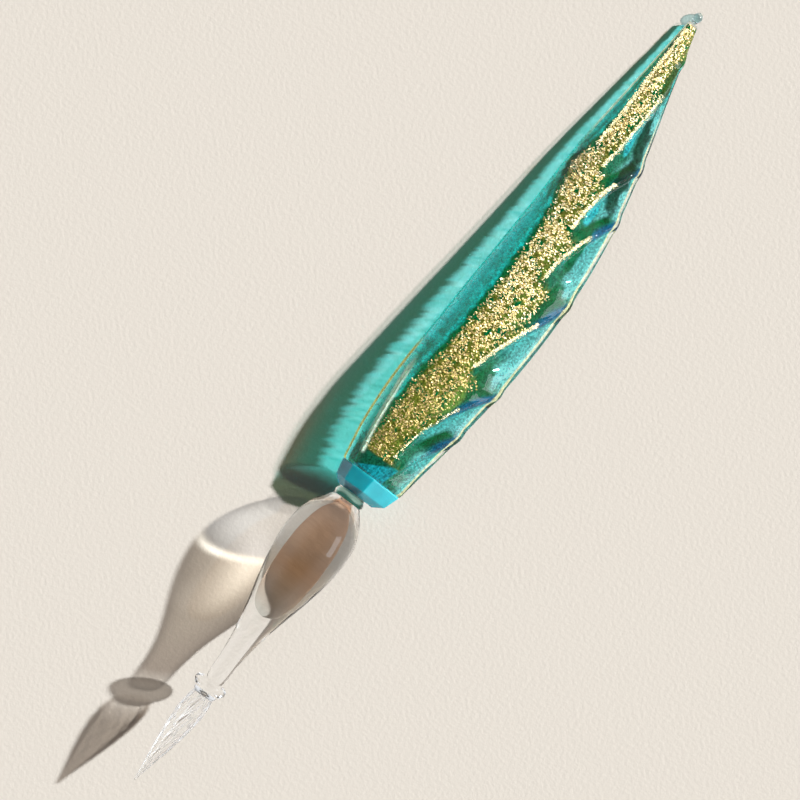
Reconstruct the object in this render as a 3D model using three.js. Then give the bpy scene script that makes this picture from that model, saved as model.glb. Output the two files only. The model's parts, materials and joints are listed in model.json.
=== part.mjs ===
// A glass dip pen, lying on a flat surface as it is put down on a desk.
//
// Millimetres, +Z up. Each piece is shaped in the pen's own line: x runs from the nib's point (x = 0)
// along the pen to the tail, z = 0 is the middle of the glass, and -y is the handle's serrated edge.
// At the end the whole pen is tipped by REST_TILT, so that it lies on its grip bulb and on the flat
// under its handle, and it is centred over the origin.

import * as THREE from 'three';

// ---- Driving dimensions ----

const REST_TILT = THREE.MathUtils.degToRad(2.75); // the nib's end stands higher than the tail
const JOINT_GAP = 0.3; // between two pieces that meet

// Nib: a fluted cone, drawn out to a needle.
const NIB_LENGTH = 20.0;
const NIB_PROFILE = [[0, 0.14], [3.5, 0.72], [7.5, 1.5], [11.5, 2.15], [15.5, 2.55], [18.5, 2.5], [20, 2.15]];
const NIB_FLUTES = 12;
const NIB_FLUTE_DEPTH = 0.16; // as a share of the radius
const NIB_TWIST = THREE.MathUtils.degToRad(150);
const NIB_LEAN = THREE.MathUtils.degToRad(2.7); // the nib's point leans away from the serrated edge

// Collar: a flared ring between the nib and the grip.
const COLLAR_START = NIB_LENGTH + JOINT_GAP;
const COLLAR_PROFILE = [[0, 2.1], [0.9, 2.5], [1.7, 3.15], [2.3, 3.4], [2.9, 3.2], [3.3, 2.4]];
const COLLAR_END = COLLAR_START + 3.3;

// Grip: a slim taper that swells into a teardrop bulb and closes to a neck.
const GRIP_START = COLLAR_END + JOINT_GAP;
const GRIP_END = 65.6;
const GRIP_PROFILE = [
  [GRIP_START, 1.78], [29, 2.1], [34, 2.7], [39, 3.8], [45, 5.3], [51, 6.45], [56, 6.83],
  [60, 6.3], [63, 5.0], [GRIP_END, 2.95],
];
const BULB_CORE_START = 40.0;
const BULB_CORE_PROFILE = [[0, 0.35], [3.5, 1.6], [8.5, 2.5], [14, 2.95], [18.5, 2.7], [22, 1.9]];
const CORE_STEM_RADIUS = 1.15;

// Neck bead: the weld between the grip and the handle.
const BEAD_START = GRIP_END + JOINT_GAP;
const BEAD_LENGTH = 1.5;
const BEAD_RADIUS = 3.25;

// Handle: its edges, seen from above, and its half thickness, each as [x, value].
const HANDLE_START = 72.0;
const HANDLE_END = 177.4;
const SMOOTH_EDGE = [[72, 5.5], [80, 6.8], [88, 7.3], [106, 6.7], [133, 5.5], [147, 5.0], [160, 3.7], [177.4, 1.95]];
const SERRATED_EDGE = [
  [72, -7.7], [88, -10.2], [104, -11.9], [118, -12.2], [133, -11.0], [148, -8.0], [163, -3.9], [177.4, -0.1],
];
const HALF_THICKNESS = [[72, 3.9], [84, 4.8], [104, 5.0], [124, 4.3], [144, 3.2], [160, 2.3], [177.4, 1.1]];
const EDGE_LEAN = 0.3; // the section is fuller towards the smooth edge
const FLAT_START = 92;
const FLAT_DEPTH = 0.3; // how much of the belly the resting flat takes off

// Crests: each runs from a root on the handle's face to a tip on the serrated edge. across is 0 on the
// smooth edge and 1 on the serrated one. Past its crest, towards the edge, the glass is pressed thinner.
const CRESTS = [
  { rootX: 73, across: 0.69, tipX: 87.6, bend: 1.2 },
  { rootX: 77.5, across: 0.6, tipX: 98.3, bend: 2.0 },
  { rootX: 100, across: 0.61, tipX: 119.9, bend: 1.3 },
  { rootX: 121.5, across: 0.61, tipX: 138.1, bend: 1.9 },
  { rootX: 132, across: 0.55, tipX: 149, bend: 2.2 },
  { rootX: 145, across: 0.46, tipX: 170.5, bend: 1.2 },
];
const CREST_STEP = 0.34; // share of the thickness lost past one crest
const TIP_REACH = 0.35; // how far a tip stands out of the serrated edge
const TIP_LENGTH = 2.5;

// Layers inside the handle, from the middle out, as shares of the handle's section.
const LAYER = { core: 0.42, bore: 0.49, body: 0.76, leafInside: 0.81, leafOutside: 0.84, hollow: 0.89 };
const LAYER_START = 73.7;
const LEAF_START = 76.2; // the leaf stops short of the handle's mouth
const LAYER_END = 166;
const CORE_END = 162;

// Front plug: from the neck to the handle's mouth, with a tenon inside the mouth.
const PLUG_START = BEAD_START + BEAD_LENGTH + JOINT_GAP;
const PLUG_SHOULDER = HANDLE_START - JOINT_GAP;
const PLUG_TENON_END = LAYER_START - JOINT_GAP; // up against the layers
const PLUG_TENON = 0.5; // share of the handle's section
const PLUG_CORNERS = [12, 50, 96, 170, 190, 264, 310, 348].map(THREE.MathUtils.degToRad);

// Tail finial: a small drop of clear glass.
const FINIAL_START = HANDLE_END + JOINT_GAP;
const FINIAL_LENGTH = 2.3;
const FINIAL_RADIUS = 0.9;

// Mesh fineness.
const ROUND_SIDES = 24;
const HANDLE_SIDES = 32;
const HANDLE_STATIONS = 46;
const LAYER_STATIONS = 14;

// ---- Curves ----

/** A smooth curve through [x, value] points, as a function of x. */
function curveThrough(points) {
  const xs = points.map(([x]) => x);
  const values = points.map(([, value]) => value);
  const interpolant = new THREE.CubicInterpolant(xs, values, 1);
  return (x) => interpolant.evaluate(THREE.MathUtils.clamp(x, xs[0], xs.at(-1)))[0];
}

/** Evenly spaced numbers from start to end, both included. */
function steps(start, end, count) {
  return Array.from({ length: count + 1 }, (_, i) => start + ((end - start) * i) / count);
}

const nibRadius = curveThrough(NIB_PROFILE);
const smoothEdge = curveThrough(SMOOTH_EDGE);
const serratedEdge = curveThrough(SERRATED_EDGE);
const halfThickness = curveThrough(HALF_THICKNESS);

/** Height of the pen's line over the surface it lies on, at x = 0: the bulb just touches. */
const REST_HEIGHT = Math.max(
  ...GRIP_PROFILE.map(([x, radius]) => radius * Math.cos(REST_TILT) + x * Math.sin(REST_TILT)),
);

/** The surface that the pen lies on, in the pen's own line. */
function groundZ(x) {
  return (x * Math.sin(REST_TILT) - REST_HEIGHT) / Math.cos(REST_TILT);
}

// ---- Solids ----

/**
 * A solid through a list of rings that hold the same number of points. Seen from the tail, each ring
 * runs anticlockwise. The ends are closed by fans, or joined to each other when joined is true. Inside
 * and outside bands are split along the same diagonals, so that thin layers stay even.
 */
function loft(rings, joined = false) {
  const sides = rings[0].length;
  const positions = rings.flat().flatMap((point) => point.toArray());
  const faces = [];
  const bands = joined ? rings.length : rings.length - 1;
  for (let i = 0; i < bands; i += 1) {
    const here = i * sides;
    const next = ((i + 1) % rings.length) * sides;
    const forwards = positions[3 * here] <= positions[3 * next];
    for (let j = 0; j < sides; j += 1) {
      const k = (j + 1) % sides;
      if (forwards) faces.push(here + j, here + k, next + k, here + j, next + k, next + j);
      else faces.push(here + j, here + k, next + j, here + k, next + k, next + j);
    }
  }
  if (!joined) {
    closeEnd(positions, faces, rings[0], 0, false);
    closeEnd(positions, faces, rings.at(-1), (rings.length - 1) * sides, true);
  }
  const geometry = new THREE.BufferGeometry();
  geometry.setAttribute('position', new THREE.Float32BufferAttribute(positions, 3));
  geometry.setIndex(faces);
  geometry.computeVertexNormals();
  return geometry;
}

/** Closes a ring with a fan round its middle, facing the tail when facesTail is true. */
function closeEnd(positions, faces, ring, first, facesTail) {
  const middle = new THREE.Vector3();
  ring.forEach((point) => middle.add(point));
  middle.divideScalar(ring.length);
  const centre = positions.length / 3;
  positions.push(...middle.toArray());
  for (let j = 0; j < ring.length; j += 1) {
    const k = (j + 1) % ring.length;
    faces.push(centre, first + (facesTail ? j : k), first + (facesTail ? k : j));
  }
}

/** A turned piece from an outline of [x, radius] points that starts and ends on the pen's line. */
function turned(outline) {
  const profile = outline.map(([x, radius]) => new THREE.Vector2(radius, x));
  return new THREE.LatheGeometry(profile, ROUND_SIDES).rotateZ(-Math.PI / 2);
}

/** The points of a smooth outline through [x, radius] points. */
function smoothOutline(points, count) {
  const curve = new THREE.SplineCurve(points.map(([x, radius]) => new THREE.Vector2(x, radius)));
  return curve.getPoints(count).map(({ x, y }) => [x, y]);
}

// ---- Nib, collar and grip ----

/** The fluted cone, leaning about the middle of its root. */
function nib() {
  const pointsPerFlute = 4;
  const sides = NIB_FLUTES * pointsPerFlute;
  const rings = steps(0, NIB_LENGTH, 15).map((x) => {
    const twist = (NIB_TWIST * x) / NIB_LENGTH;
    return Array.from({ length: sides }, (_, j) => {
      const turn = (2 * Math.PI * j) / sides;
      const groove = (NIB_FLUTE_DEPTH * (1 - Math.cos(NIB_FLUTES * turn))) / 2;
      const radius = nibRadius(x) * (1 - groove);
      return new THREE.Vector3(x, radius * Math.cos(turn + twist), radius * Math.sin(turn + twist));
    });
  });
  return loft(rings).translate(-NIB_LENGTH, 0, 0).rotateZ(-NIB_LEAN).translate(NIB_LENGTH, 0, 0);
}

function nibCollar() {
  const side = smoothOutline(COLLAR_PROFILE, 9).map(([x, radius]) => [COLLAR_START + x, radius]);
  return turned([[COLLAR_START, 0], ...side, [COLLAR_END, 0]]);
}

/** The brown core's side, grown by a clearance, from its blind end to the start of its stem. */
function bulbCoreSide(clearance) {
  return smoothOutline(BULB_CORE_PROFILE, 9).map(([x, radius]) => [BULB_CORE_START + x, radius + clearance]);
}

function bulbCore() {
  const side = bulbCoreSide(0);
  const stem = [[64, CORE_STEM_RADIUS], [GRIP_END, CORE_STEM_RADIUS]];
  return turned([[BULB_CORE_START, 0], ...side, ...stem, [GRIP_END, 0]]);
}

/** Clear glass outside, with a hollow for the brown core that opens at the neck. */
function gripBody() {
  const outside = smoothOutline(GRIP_PROFILE, 18);
  const mouth = CORE_STEM_RADIUS + JOINT_GAP;
  const hollow = bulbCoreSide(JOINT_GAP).reverse();
  const blindEnd = BULB_CORE_START - JOINT_GAP;
  return turned([[GRIP_START, 0], ...outside, [GRIP_END, mouth], [64, mouth], ...hollow, [blindEnd, 0]]);
}

function neckBead() {
  const side = steps(0, 1, 8).map((share) => [
    BEAD_START + BEAD_LENGTH * share,
    BEAD_RADIUS * (0.84 + 0.16 * Math.sin(Math.PI * share)),
  ]);
  return turned([[BEAD_START, 0], ...side, [BEAD_START + BEAD_LENGTH, 0]]);
}

// ---- Handle ----

/** Where a crest lies across the handle at x, or null where the crest doesn't reach. */
function crestAcross(crest, x) {
  const along = (x - crest.rootX) / (crest.tipX - crest.rootX);
  if (along <= 0 || along >= 1) return null;
  return crest.across + (1 - crest.across) * along ** crest.bend;
}

/** The share of the thickness left by the pressed hollows past the crests. */
function pressed(x, across) {
  let left = 1;
  for (const crest of CRESTS) {
    const line = crestAcross(crest, x);
    if (line === null) continue;
    const past = THREE.MathUtils.smoothstep(across, line, line + 0.07);
    const grown = THREE.MathUtils.smoothstep(x, crest.rootX, crest.rootX + 5);
    left *= 1 - CREST_STEP * past * grown;
  }
  return left;
}

/** How far the tips of the crests stand out of the serrated edge. */
function tipReach(x) {
  return CRESTS.reduce((reach, { tipX }) => {
    const away = Math.abs(x - tipX) / TIP_LENGTH;
    return Math.max(reach, TIP_REACH * (1 - THREE.MathUtils.smoothstep(away, 0, 1)));
  }, 0);
}

/**
 * One ring round the handle at x. share scales the section about its middle, from 1 on the outside
 * to the layers inside, and left says how far the section is pressed. The underside is cut flat where
 * it would go below the surface the pen lies on.
 */
function handleRing(x, share, left = pressed) {
  const low = serratedEdge(x) - tipReach(x);
  const high = smoothEdge(x);
  const middle = (low + high) / 2;
  const halfWidth = (high - low) / 2;
  const belly = Math.min(halfThickness(x), -groundZ(x) + (x > FLAT_START ? FLAT_DEPTH : 0));
  return Array.from({ length: HANDLE_SIDES }, (_, j) => {
    const turn = (2 * Math.PI * j) / HANDLE_SIDES;
    const across = (1 - Math.cos(turn)) / 2;
    const upper = Math.sin(turn) >= 0;
    const reach = (upper ? halfThickness(x) : belly) * left(x, across) * (1 + EDGE_LEAN * Math.cos(turn));
    const y = middle + share * halfWidth * Math.cos(turn);
    const z = share * Math.max(reach * Math.sin(turn), groundZ(x));
    return new THREE.Vector3(x, y, z);
  });
}

/** The least that the crests leave within a layer station of x, so that the layers pass under them. */
function pressedNearby(x, across) {
  const reach = (LAYER_END - LEAF_START) / LAYER_STATIONS;
  return Math.min(...steps(x - reach, x + reach, 8).map((near) => pressed(near, across)));
}

/** The stations that the handle's layers share, so that each lies evenly inside the next. */
function layerStations(start, end) {
  const stations = [LAYER_START, ...steps(LEAF_START, LAYER_END, LAYER_STATIONS)];
  return stations.filter((x) => x >= start && x <= end);
}

/** Rings at the given stations, for one layer. */
function layer(stations, share) {
  return stations.map((x) => handleRing(x, share, pressedNearby));
}

/** Clear glass outside, with a hollow for the other layers that opens at the handle's mouth. */
function handleCasing() {
  const stations = [HANDLE_START, ...layerStations(LAYER_START, LAYER_END), LAYER_END + JOINT_GAP];
  const outside = steps(HANDLE_START, HANDLE_END, HANDLE_STATIONS);
  return loft([...layer(stations.reverse(), LAYER.hollow), ...layer(outside, 1)]);
}

/** A thin sleeve, open at both ends. */
function goldLeaf() {
  const outside = layerStations(LEAF_START, LAYER_END);
  const inside = [...outside].reverse();
  return loft([...layer(outside, LAYER.leafOutside), ...layer(inside, LAYER.leafInside)], true);
}

/** Turquoise glass, bored from the front for the core rod. */
function handleBody() {
  const bore = [...layerStations(LAYER_START, CORE_END), CORE_END + JOINT_GAP].reverse();
  return loft([...layer(bore, LAYER.bore), ...layer(layerStations(LAYER_START, LAYER_END), LAYER.body)]);
}

function coreRod() {
  return loft(layer([...layerStations(LAYER_START, CORE_END), CORE_END], LAYER.core));
}

/** A ring of the plug, with a corner between each two of its facets. share is its size beside the mouth. */
function plugRing(x, share, middleY) {
  const halfWidth = (smoothEdge(HANDLE_START) - serratedEdge(HANDLE_START)) / 2;
  return PLUG_CORNERS.map((turn) => {
    const y = middleY + share * halfWidth * Math.cos(turn);
    const z = share * halfThickness(HANDLE_START) * Math.sin(turn);
    return new THREE.Vector3(x, y, z);
  });
}

function frontPlug() {
  const mouthY = (smoothEdge(HANDLE_START) + serratedEdge(HANDLE_START)) / 2;
  return loft([
    plugRing(PLUG_START, 0.58, mouthY * 0.5),
    plugRing(PLUG_START + 1.4, 0.85, mouthY * 0.8),
    plugRing(PLUG_SHOULDER, 1.0, mouthY),
    plugRing(PLUG_SHOULDER, PLUG_TENON, mouthY),
    plugRing(PLUG_TENON_END, PLUG_TENON, mouthY),
  ]);
}

function tailFinial() {
  const side = steps(0.12, 1, 8).map((share) => [
    FINIAL_START + FINIAL_LENGTH * (share - 0.12),
    FINIAL_RADIUS * Math.sin(Math.PI * Math.min(share, 0.97)) ** 0.6,
  ]);
  const middleY = (smoothEdge(HANDLE_END) + serratedEdge(HANDLE_END)) / 2;
  return turned([[side[0][0], 0], ...side, [side.at(-1)[0], 0]]).translate(0, middleY, 0);
}

// ---- Assembly ----

function material(color, roughness, metalness = 0) {
  return new THREE.MeshStandardMaterial({ color, roughness, metalness });
}

const PIECES = [
  ['nib', nib, material(0xdfe4e2, 0.05)],
  ['nib_collar', nibCollar, material(0xd9dfe0, 0.05)],
  ['grip_body', gripBody, material(0xdadedb, 0.05)],
  ['bulb_core', bulbCore, material(0x8a7464, 0.1)],
  ['neck_bead', neckBead, material(0xd4dcdc, 0.05)],
  ['front_plug', frontPlug, material(0x3bbccb, 0.08)],
  ['core_rod', coreRod, material(0x0e5243, 0.15)],
  ['handle_body', handleBody, material(0x17a2a6, 0.06)],
  ['gold_leaf', goldLeaf, material(0xd2ab52, 0.35, 1)],
  ['handle_casing', handleCasing, material(0xb9dcdc, 0.05)],
  ['tail_finial', tailFinial, material(0xa9c6c8, 0.05)],
];

const line = new THREE.Group();
for (const [name, shape, finish] of PIECES) {
  const mesh = new THREE.Mesh(shape(), finish);
  mesh.name = name;
  line.add(mesh);
}
line.rotation.y = REST_TILT;
line.position.z = REST_HEIGHT;

const pen = new THREE.Group();
pen.add(line);
pen.updateMatrixWorld(true);
const middle = new THREE.Box3().setFromObject(pen, true).getCenter(new THREE.Vector3());
line.position.x -= middle.x;
line.position.y -= middle.y;

export default pen;
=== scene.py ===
"""A glass dip pen at rest on a pale surface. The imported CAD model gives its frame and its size.

Each piece is shaped in millimetres in the pen's own line, as the CAD is: x runs from the nib's point to
the tail, z = 0 is the middle of the glass and -y is the handle's serrated edge. LINE then places it.
"""

import json
import math

import bpy
import numpy as np
from mathutils import Euler, Matrix, Vector, noise


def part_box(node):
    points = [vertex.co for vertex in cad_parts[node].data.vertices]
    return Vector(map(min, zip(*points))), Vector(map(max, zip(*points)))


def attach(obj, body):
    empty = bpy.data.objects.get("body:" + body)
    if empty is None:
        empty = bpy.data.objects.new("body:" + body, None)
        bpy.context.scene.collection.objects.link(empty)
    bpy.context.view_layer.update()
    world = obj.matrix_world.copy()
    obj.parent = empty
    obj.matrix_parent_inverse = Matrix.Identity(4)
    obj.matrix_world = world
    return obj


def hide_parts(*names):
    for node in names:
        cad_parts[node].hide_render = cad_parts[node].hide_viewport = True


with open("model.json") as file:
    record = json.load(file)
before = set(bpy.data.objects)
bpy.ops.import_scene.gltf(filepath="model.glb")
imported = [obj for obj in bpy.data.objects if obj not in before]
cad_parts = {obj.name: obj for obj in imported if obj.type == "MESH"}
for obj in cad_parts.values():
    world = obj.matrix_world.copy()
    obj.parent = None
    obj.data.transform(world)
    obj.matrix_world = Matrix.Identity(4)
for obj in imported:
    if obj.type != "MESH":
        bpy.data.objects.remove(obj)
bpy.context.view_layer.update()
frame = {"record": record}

# ---- The pen's line, from the frame ----

MM = 0.001
REST_TILT = math.radians(2.75)


def pen_line():
    """The matrix from the pen's own line, in millimetres, to the frame, in metres."""
    nib_low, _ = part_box("nib")
    collar_low, collar_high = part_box("nib_collar")
    collar = (Vector(collar_low) + Vector(collar_high)) / 2
    height = collar.z + (collar.x - nib_low[0]) * math.tan(REST_TILT)
    place = Matrix.Translation((nib_low[0], collar.y, height))
    return place @ Matrix.Rotation(REST_TILT, 4, "Y") @ Matrix.Scale(MM, 4)


LINE = pen_line()
REST_HEIGHT = LINE.translation.z / MM

# ---- Dimensions, in millimetres ----

NIB_ROOT = 20.0
NIB_END = 20.3
NIB_PROFILE = [(0, 0.1), (3.5, 0.72), (7.5, 1.5), (11.5, 2.15), (15.5, 2.55), (18.5, 2.5), (20.3, 2.15)]
NIB_FLUTES = 12
NIB_FLUTE_DEPTH = 0.24  # as a share of the radius
NIB_FLUTE_SHARPNESS = 1.4
NIB_TWIST = math.radians(150)
NIB_LEAN = math.radians(2.7)

COLLAR_START = 20.2
COLLAR_PROFILE = [
    (0, 1.9), (0.3, 2.2), (1.0, 2.5), (1.8, 3.15), (2.4, 3.38), (3.0, 3.2), (3.4, 2.5), (3.6, 1.9),
]

GRIP_START = 23.7
GRIP_END = 65.75
GRIP_PROFILE = [
    (23.7, 1.7), (24.2, 1.8), (29, 2.1), (34, 2.7), (39, 3.8), (45, 5.3), (51, 6.45), (56, 6.83),
    (60, 6.3), (63, 5.0), (65.75, 3.0),
]
BULB_CORE_START = 39.2
BULB_CORE_PROFILE = [
    (0, 0.3), (0.5, 1.15), (1.6, 1.85), (4, 2.5), (9, 2.95), (14, 3.05), (18.5, 2.8), (22, 2.1),
    (24.1, 1.2), (25.2, 1.0), (26.3, 1.0), (26.5, 0.3),
]

BEAD_PROFILE = [(65.7, 2.9), (65.85, 3.0), (66.3, 3.2), (66.7, 3.15), (67.2, 2.85), (67.7, 2.8)]

HANDLE_START = 72.0
HANDLE_END = 177.4
SMOOTH_EDGE = [
    (72, 5.5), (80, 6.8), (88, 7.3), (106, 6.7), (133, 5.5), (147, 5.0), (160, 3.7), (177.4, 1.95),
]
SERRATED_EDGE = [
    (72, -7.7), (88, -10.2), (104, -11.9), (118, -12.2), (133, -11.0), (148, -8.0), (163, -3.9),
    (177.4, -0.1),
]
HALF_THICKNESS = [(72, 3.9), (84, 4.8), (104, 5.0), (124, 4.3), (144, 3.2), (160, 2.3), (177.4, 1.1)]
EDGE_LEAN = 0.3  # how much thicker the section is towards the smooth edge
FLAT_START = 92  # where the flat that the handle rests on begins
FLAT_DEPTH = 0.3

# Crests: from a root on the face to a tip on the serrated edge. across is 0 at the smooth edge and 1 at
# the other. bend says how late a crest turns to its tip, fold how thickly the leaf is folded along it.
CRESTS = [
    {"root_x": 73, "across": 0.69, "tip_x": 87.6, "bend": 1.2, "fold": 0.0},
    {"root_x": 77.5, "across": 0.6, "tip_x": 98.3, "bend": 2.0, "fold": 0.25},
    {"root_x": 100, "across": 0.61, "tip_x": 119.9, "bend": 1.3, "fold": 1.0},
    {"root_x": 121.5, "across": 0.61, "tip_x": 138.1, "bend": 1.9, "fold": 0.8},
    {"root_x": 132, "across": 0.55, "tip_x": 149, "bend": 2.2, "fold": 1.2},
    {"root_x": 145, "across": 0.46, "tip_x": 170.5, "bend": 1.2, "fold": 1.2},
]
CREST_GROWTH = 5  # along the pen, from a crest's root to where it has its full height
CREST_STEP = 0.34  # the share of the thickness that is missing past a crest
CREST_STEP_WIDTH = 0.04  # as a share across
CREST_LIP = 0.22  # height of the raised lip along a crest
CREST_LIP_WIDTH = 0.5
CREST_LEAN = (0.28, -0.35, 0.9)  # the way that a crest's outer slope faces
TIP_REACH = 0.35  # how far a crest's tip stands out from the edge
TIP_LENGTH = 2.5

# The ridge along the front of the smooth edge, as (x, across).
RIDGE = [(74.8, 0.165), (82, 0.125), (90, 0.085), (96.5, 0.062)]
RIDGE_FADE = 91  # where it starts to sink
RIDGE_WIDTH = 0.36
RIDGE_HEIGHT = 0.12

# Layers, as shares of the handle's section.
CORE_SHARE = 0.42
BODY_SHARE = 0.91
LEAF_SHARE = 0.945
BODY_START = 72.1
BODY_END = 176.8
LEAF_START = 76.0
LEAF_END = 177.0
LEAF_SLANT = 4.0  # how far before a crest's root the leaf starts to give way
TIP_GREEN = 0.16  # how far from a crest's tip the leaf ends, as a share across
FULL_WIDTH = 19.0  # of the handle, where it is widest
LEAF_EDGE = [
    (76, 0.19), (88, 0.2), (106, 0.245), (125, 0.23), (133, 0.2), (138, 0.13), (143, 0.06), (147, 0.14),
    (152, 0.2), (177, 0.1),
]
LEAF_FAR_EDGE = 0.93  # across, where no crest holds it back
LEAF_GAP = 0.005  # across, from the leaf to a crest

SMOOTH_CLEAR = 0.7  # how far the glass along the smooth edge is seen through
FACET_CLEAR = 0.25  # and past the first crests
CLEAR_FACETS = 4

# Flakes of the leaf.
FLAKES_PER_FACE = 30000  # tried: those outside the leaf and in its holes are dropped
FLAKE_CORNERS = 5
FLAKE_SIZE = (0.07, 0.15)
FLAKE_STRETCH = 1.7
FLAKE_LEAN = 0.28
FLAKE_TURN = 0.4
CORNER_SHIFT = 0.25  # round the flake, as a share of the way to the next corner
CORNER_REACH = (0.75, 1.2)  # as shares of the flake's size
HOLE_SPREAD = 16  # the handle's usual width, for the size of the leaf's holes
GOLD_SHADES = [
    (0.13, 0.13, 0.04), (0.34, 0.27, 0.08), (0.54, 0.4, 0.16), (0.77, 0.58, 0.3), (0.95, 0.81, 0.54),
    (1.0, 0.94, 0.74),
]
GOLD_SPREAD = 0.65  # how much of these shades neighbouring flakes show
FOLD_FLAKES = 500  # along a crest whose fold is 1
FOLD_FLAKE_SIZE = (0.05, 0.13)
FOLD_FLAKE_LEAN = 0.25
FOLD_WIDTH = 0.2
FOLD_LENGTH = 0.7  # as a share of its crest's
CREAM_SHADES = [(0.36, 0.3, 0.15), (0.6, 0.53, 0.34), (0.72, 0.68, 0.52)]
TAIL_FOLD = [(148, 0.2), (155, 0.22), (165, 0.22), (176, 0.24)]
TAIL_FOLD_THICKNESS = 2.0

CORE_END = 162
CORE_TAPER = 4

PLUG_START = 67.5
PLUG_CORNERS = [math.radians(turn) for turn in (12, 50, 96, 170, 190, 264, 310, 348)]
PLUG_POLISH = 0.18  # how far its corners are rounded
PLUG_SLANT = 0.55  # of its back edge, as it is seen through the casing
PLUG_SLANT_START = 3.5
PLUG_SEEN = 0.8  # how far across it is seen there

FINIAL_PROFILE = [(177.25, 0.35), (177.8, 0.42), (178.4, 0.8), (179.1, 0.88), (179.7, 0.6), (180.0, 0.1)]

# How finely each piece is shaped: rings along the pen and sides round it.
NIB_MESH = (110, 16 * NIB_FLUTES)
COLLAR_MESH = (40, 96)
GRIP_MESH = (160, 128)
BULB_CORE_MESH = (80, 96)
BEAD_MESH = (40, 96)
CASING_MESH = (360, 200)
BODY_MESH = (460, 240)
CORE_MESH = (120, 64)
FINIAL_MESH = (40, 64)

# ---- Curves and noise ----


def curve_through(points):
    """A smooth curve through (x, value) points, as a function of an array of x."""
    xs, values = np.array(points, float).T
    slopes = np.gradient(values, xs)

    def at(x):
        x = np.clip(x, xs[0], xs[-1])
        i = np.clip(np.searchsorted(xs, x, side="right") - 1, 0, len(xs) - 2)
        span = xs[i + 1] - xs[i]
        t = (x - xs[i]) / span
        start = (1 + 2 * t) * (1 - t) ** 2 * values[i] + t * (1 - t) ** 2 * span * slopes[i]
        end = t * t * (3 - 2 * t) * values[i + 1] + t * t * (t - 1) * span * slopes[i + 1]
        return start + end

    return at


def linear(red, green, blue):
    """A colour seen on a screen, 0 to 255, as linear light."""
    return tuple((value / 255) ** 2.2 for value in (red, green, blue))


def mixed(first, second, share):
    """Arrays of colours, share of the way from the first to the second."""
    share = np.asarray(share)[..., None]
    return np.asarray(first) * (1 - share) + np.asarray(second) * share


def smoothstep(x, low, high):
    """0 to 1 as x goes from low to high, easing in and out."""
    t = np.clip((x - low) / (high - low), 0, 1)
    return t * t * (3 - 2 * t)


def noise_at(points, size, seed):
    """Smooth noise from -1 to 1 at (..., 3) points, with features of about size."""
    flat = np.asarray(points, float).reshape(-1, 3) / size + seed
    values = [noise.noise(Vector(p)) for p in flat]
    return np.array(values).reshape(np.asarray(points).shape[:-1])


smooth_edge = curve_through(SMOOTH_EDGE)
serrated_edge = curve_through(SERRATED_EDGE)
half_thickness = curve_through(HALF_THICKNESS)
leaf_edge = curve_through(LEAF_EDGE)
ridge_line = curve_through(RIDGE)


def handle_width(x):
    return smooth_edge(x) - serrated_edge(x)


def handle_middle(x):
    return float(smooth_edge(x) + serrated_edge(x)) / 2


def ground_z(x):
    """The surface that the pen lies on, in the pen's own line."""
    return (x * math.sin(REST_TILT) - REST_HEIGHT) / math.cos(REST_TILT)


# ---- Meshes ----


def placed(name, data):
    """An object in the scene, from its mesh, lamp or camera data."""
    obj = bpy.data.objects.new(name, data)
    bpy.context.scene.collection.objects.link(obj)
    return obj


def piece(name, points, faces, material, node, smooth=True):
    """A mesh object from points in the pen's line, standing for a CAD node."""
    mesh = bpy.data.meshes.new(name)
    mesh.from_pydata([LINE @ Vector(p) for p in points], [], [tuple(int(i) for i in f) for f in faces])
    mesh.validate()
    mesh.polygons.foreach_set("use_smooth", [smooth] * len(mesh.polygons))
    mesh.materials.append(material)
    obj = placed(name, mesh)
    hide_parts(node)
    slot_of(node)
    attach(obj, "root")
    return obj


def slot_of(node):
    """The record's material slot of a CAD node."""
    for part in frame["record"]["subparts"]:
        if part["node"] == node:
            return part["material_slot"]


def full_turn(sides):
    """Evenly spaced angles round a section."""
    return np.linspace(0, 2 * math.pi, sides, endpoint=False)


def grid_faces(rows, sides):
    """Quads between rows of points that close round, facing out."""
    faces = []
    for i in range(rows - 1):
        for j in range(sides):
            k = (j + 1) % sides
            here, after = i * sides, (i + 1) * sides
            faces.append((here + j, here + k, after + k, after + j))
    return faces


def loft(rings):
    """Points and faces of a closed body through rings of the same size, as an (n, sides, 3) array."""
    rings = np.asarray(rings, float)
    rows, sides, _ = rings.shape
    faces = grid_faces(rows, sides)
    faces.append(tuple(range(sides))[::-1])
    last = (rows - 1) * sides
    faces.append(tuple(range(last, last + sides)))
    return rings.reshape(-1, 3), faces


def fine_profile(points, count):
    """x and radius along a smooth curve through (x, radius) points, evenly spaced along its length."""
    x, radius = np.array(points, float).T
    length = np.concatenate([[0], np.cumsum(np.hypot(np.diff(x), np.diff(radius)))])
    even = np.linspace(0, length[-1], count)
    return [curve_through(list(zip(length, values)))(even)[:, None] for values in (x, radius)]


def turned(profile, mesh, start=0.0, middle_y=0.0):
    """Points and faces of a body turned about a line along the pen. Its profile's x counts from start."""
    count, sides = mesh
    x, radius = fine_profile(profile, count)
    turn = full_turn(sides)
    y, z = middle_y + radius * np.cos(turn), radius * np.sin(turn)
    return loft(np.stack([np.broadcast_to(start + x, y.shape), y, z], -1))


# ---- Materials ----

WHITE = (1, 1, 1)
BLACK = (0, 0, 0)

GLASS_IOR = 1.5
CASED_IOR = 1.03  # of coloured glass, beside the clear glass that it is cased in
BEAD_IOR = 1.25

RIPPLE_SIZE = 6.0
RIPPLE_DEPTH = 0.4
RIM_START = 0.3  # how far a surface faces away where its rim begins

# Where the lamp's rays enter the bulb, as ranges of height over the surface.
BULB_SIDE = (7.9, 10.4)
BULB_TOP = (11.1, 13.4)

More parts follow.
